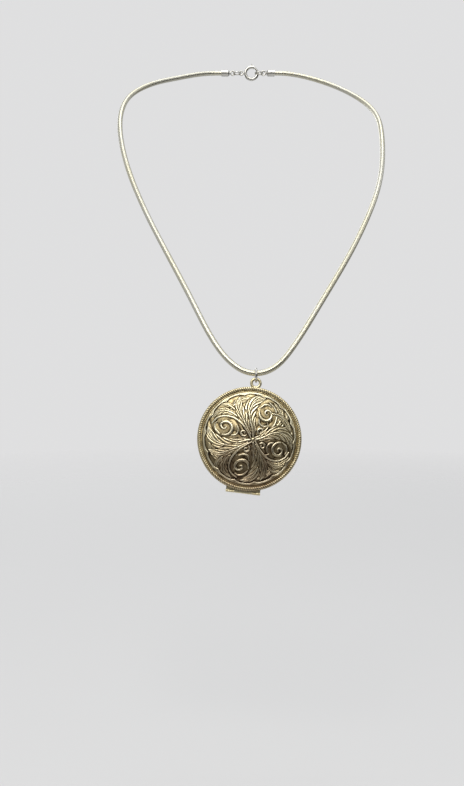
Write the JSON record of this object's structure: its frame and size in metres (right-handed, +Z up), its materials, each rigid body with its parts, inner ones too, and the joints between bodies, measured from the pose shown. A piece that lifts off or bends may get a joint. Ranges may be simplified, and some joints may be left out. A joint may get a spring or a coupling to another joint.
{
  "type": "locket",
  "caption": "Round hinged picture locket with scrolling leaf relief, hung by a jump ring on a round snake chain with a spring-ring clasp.",
  "frame": {"origin": "on the chain's clasp at the nape of the neck, where a neck or display stand carries the necklace", "axes": "+X to the right as seen from the front, +Y from the locket's front towards the wearer's nape, +Z up"},
  "size_m": [0.1287, 0.1333, 0.21],
  "materials": {
    "stamped_gold": "antiqued, stamped",
    "fittings_gold": "polished",
    "liner_gold": "satin",
    "window": "clear acetate",
    "card": "plain card",
    "steel": "drawn wire",
    "silver": "polished",
    "chain": "pale plated, polished"
  },
  "bodies": {
    "chain": {"chain": "chain", "end_cap_left": "silver", "end_cap_right": "silver", "cap_loop_left": "silver", "cap_loop_right": "silver"},
    "jump_ring": {"jump_ring": "silver"},
    "case": {"back_shell": "stamped_gold", "back_liner": "liner_gold", "snap_collar": "liner_gold", "back_window": "window", "back_photo_card": "card", "back_photo_ring": "liner_gold", "case_bearer": "fittings_gold", "case_knuckle_left": "fittings_gold", "case_knuckle_right": "fittings_gold", "hinge_pin": "steel", "bail_eye": "fittings_gold"},
    "lid": {"front_shell": "stamped_gold", "front_liner": "liner_gold", "front_window": "window", "front_photo_card": "card", "front_photo_ring": "liner_gold", "lid_bearer": "fittings_gold", "lid_knuckle": "fittings_gold"},
    "link_ring": {"link_ring": "silver"},
    "catch_ring": {"catch_ring": "silver"},
    "clasp": {"clasp_ring": "silver", "clasp_eye": "silver", "clasp_spring": "steel"},
    "clasp_bolt": {"clasp_bolt": "silver"}
  },
  "joints": [
    {"name": "jump_ring_swing", "type": "hinge", "parent": "chain", "child": "jump_ring", "pos_m": [0.001, -0.11844, -0.15785], "axis": [1, 0, 0], "range_deg": [-60, 60]},
    {"name": "locket_sway", "type": "hinge", "parent": "jump_ring", "child": "case", "pos_m": [0.001, -0.11917, -0.16128], "axis": [0, 0.9781, -0.2079], "range_deg": [-40, 40]},
    {"name": "lid_hinge", "type": "hinge", "parent": "case", "child": "lid", "pos_m": [-0.00437, -0.12887, -0.20393], "axis": [0.9925, -0.0253, -0.1192], "range_deg": [0, 165]},
    {"name": "link_ring_roll", "type": "hinge", "parent": "chain", "child": "link_ring", "pos_m": [-0.0059, 0, 0], "axis": [1, 0, 0], "range_deg": [-20, 20]},
    {"name": "catch_ring_roll", "type": "hinge", "parent": "chain", "child": "catch_ring", "pos_m": [0.00581, 0, 0], "axis": [1, 0, 0], "range_deg": [-20, 20]},
    {"name": "clasp_roll", "type": "hinge", "parent": "chain", "child": "clasp", "pos_m": [0.00183, 0, 0], "axis": [1, 0, 0], "range_deg": [-25, 25]},
    {"name": "clasp_bolt_slide", "type": "hinge", "parent": "clasp", "child": "clasp_bolt", "pos_m": [0.00183, 0, 0], "axis": [0, -1, 0], "range_deg": [0, 50], "stiffness_Nm_per_rad": 0.003, "springref_deg": -28.65, "deforming": ["clasp_spring"]}
  ]
}
